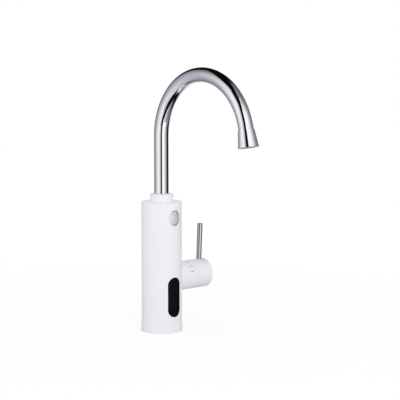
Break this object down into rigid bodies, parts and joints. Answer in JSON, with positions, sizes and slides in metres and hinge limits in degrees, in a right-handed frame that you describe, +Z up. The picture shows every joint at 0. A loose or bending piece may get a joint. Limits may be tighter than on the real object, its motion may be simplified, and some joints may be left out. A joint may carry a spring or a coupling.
{
  "type": "instant hot water tap",
  "caption": "Electric instant hot water kitchen tap: white cylindrical heater body with display window, side lever valve and swivelling chrome gooseneck spout.",
  "frame": {"origin": "on the body's axis in the plane of the worktop, under the foot ring", "axes": "+Z up, -Y to the front (display, badge and spout), +X to the side knob and lever"},
  "size_m": [0.1108, 0.2259, 0.3821],
  "materials": {
    "white_plastic": "smooth satin gloss moulding",
    "chrome": "polished plating",
    "lever_steel": "fine lengthwise brushing",
    "black_window": "smoked glossy",
    "badge_silver": "bright anodised",
    "brass": "machined",
    "stainless": "drawn stainless",
    "seal_rubber": "matt moulded",
    "grey_plastic": "fine moulded grain",
    "ceramic": "lapped",
    "board_green": "solder mask",
    "component_black": "moulded",
    "lead_sleeve": "silicone sleeve"
  },
  "bodies": {
    "body": {"main_housing": "white_plastic", "base_ring": "white_plastic", "spout_collar": "white_plastic", "side_sleeve": "white_plastic", "display_lens": "black_window", "front_badge": "badge_silver", "inlet_fitting": "brass", "valve_body": "brass", "cartridge_nut": "brass", "sleeve_nut": "brass", "transfer_pipe": "brass", "spout_socket": "brass", "base_screws": "stainless", "inlet_strainer": "stainless", "flow_spring": "stainless", "chamber_shell": "stainless", "chamber_screws": "stainless", "heating_element": "stainless", "terminal_bridge": "stainless", "temperature_sensor": "stainless", "display_screws": "stainless", "deck_gasket": "seal_rubber", "cartridge_seal": "seal_rubber", "pipe_seals": "seal_rubber", "chamber_seal": "seal_rubber", "base_plate": "grey_plastic", "cable_gland": "grey_plastic", "flow_switch_housing": "grey_plastic", "cartridge_housing": "grey_plastic", "knob_bush": "grey_plastic", "chamber_base": "grey_plastic", "swivel_washer": "grey_plastic", "fixed_disc": "ceramic", "control_board": "board_green", "display_board": "board_green", "power_relay": "component_black", "terminal_block": "component_black", "display_module": "component_black", "reed_switch": "component_black", "thermal_cutout": "component_black", "heater_leads": "lead_sleeve"},
    "spout": {"swivel_insert": "brass", "swivel_seals": "seal_rubber", "spout_tube": "chrome", "nozzle_shell": "chrome", "aerator_seal": "seal_rubber", "aerator_insert": "grey_plastic"},
    "lever_knob": {"moving_disc": "ceramic", "valve_stem": "brass", "stem_seal": "seal_rubber", "control_knob": "white_plastic", "lever_rod": "lever_steel", "knob_set_screw": "stainless"},
    "piston": {"flow_piston": "component_black"}
  },
  "joints": [
    {"name": "spout_swivel", "type": "hinge", "parent": "body", "child": "spout", "pos_m": [0, 0, 0.189], "axis": [0, 0, 1], "continuous": true},
    {"name": "lever_turn", "type": "hinge", "parent": "body", "child": "lever_knob", "pos_m": [0.0707, 0, 0.076], "axis": [1, 0, 0], "range_deg": [0, 90]},
    {"name": "piston_lift", "type": "slide", "parent": "body", "child": "piston", "axis": [0, 0, 1], "range_m": [0, 0.008], "stiffness_N_per_m": 40, "springref_m": -0.005, "deforming": ["flow_spring"]}
  ]
}
